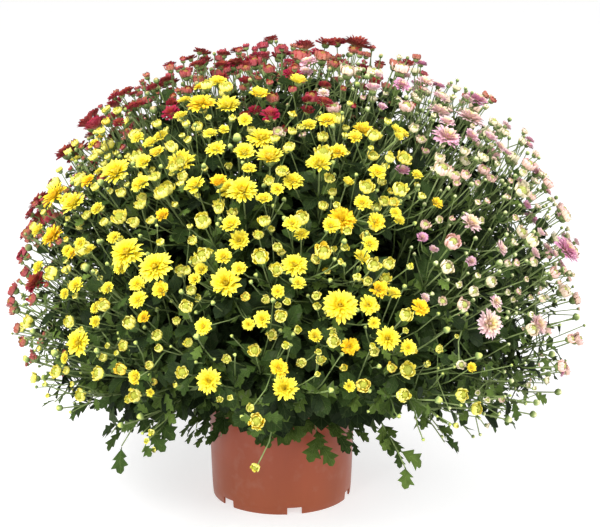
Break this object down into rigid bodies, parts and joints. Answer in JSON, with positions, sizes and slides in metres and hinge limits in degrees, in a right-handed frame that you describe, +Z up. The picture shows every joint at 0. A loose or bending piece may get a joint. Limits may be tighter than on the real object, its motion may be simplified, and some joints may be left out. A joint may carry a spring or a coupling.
{
  "type": "pot chrysanthemum",
  "caption": "Flowering pot plant: a dome of leafy stems with yellow, crimson and pink daisy blooms, standing in a round plastic grower's pot of soil.",
  "frame": {"origin": "middle of the foliage dome seen from above, at the level of the pot's foot", "axes": "+Z up, the side that the picture shows faces -Y, +X to the right of it"},
  "size_m": [0.7686, 0.7586, 0.6072],
  "materials": {
    "terracotta_plastic": "satin",
    "potting_soil": "matte",
    "yellow_plant": "matte",
    "red_plant": "matte",
    "pink_plant": "matte"
  },
  "bodies": {
    "root": {"pink_stem_01": "pink_plant", "pink_stem_02": "pink_plant", "pink_stem_03": "pink_plant", "pink_stem_04": "pink_plant", "pink_stem_05": "pink_plant", "pink_stem_06": "pink_plant", "pink_stem_07": "pink_plant", "pink_stem_08": "pink_plant", "pink_stem_09": "pink_plant", "pink_stem_10": "pink_plant", "pink_stem_11": "pink_plant", "pot": "terracotta_plastic", "red_stem_01": "red_plant", "red_stem_02": "red_plant", "red_stem_03": "red_plant", "red_stem_04": "red_plant", "red_stem_05": "red_plant", "red_stem_06": "red_plant", "red_stem_07": "red_plant", "red_stem_08": "red_plant", "red_stem_09": "red_plant", "red_stem_10": "red_plant", "red_stem_11": "red_plant", "red_stem_12": "red_plant", "red_stem_13": "red_plant", "red_stem_14": "red_plant", "red_stem_15": "red_plant", "soil": "potting_soil", "yellow_stem_01": "yellow_plant", "yellow_stem_02": "yellow_plant", "yellow_stem_03": "yellow_plant", "yellow_stem_04": "yellow_plant", "yellow_stem_05": "yellow_plant", "yellow_stem_06": "yellow_plant", "yellow_stem_07": "yellow_plant", "yellow_stem_08": "yellow_plant", "yellow_stem_09": "yellow_plant", "yellow_stem_10": "yellow_plant"}
  },
  "joints": []
}
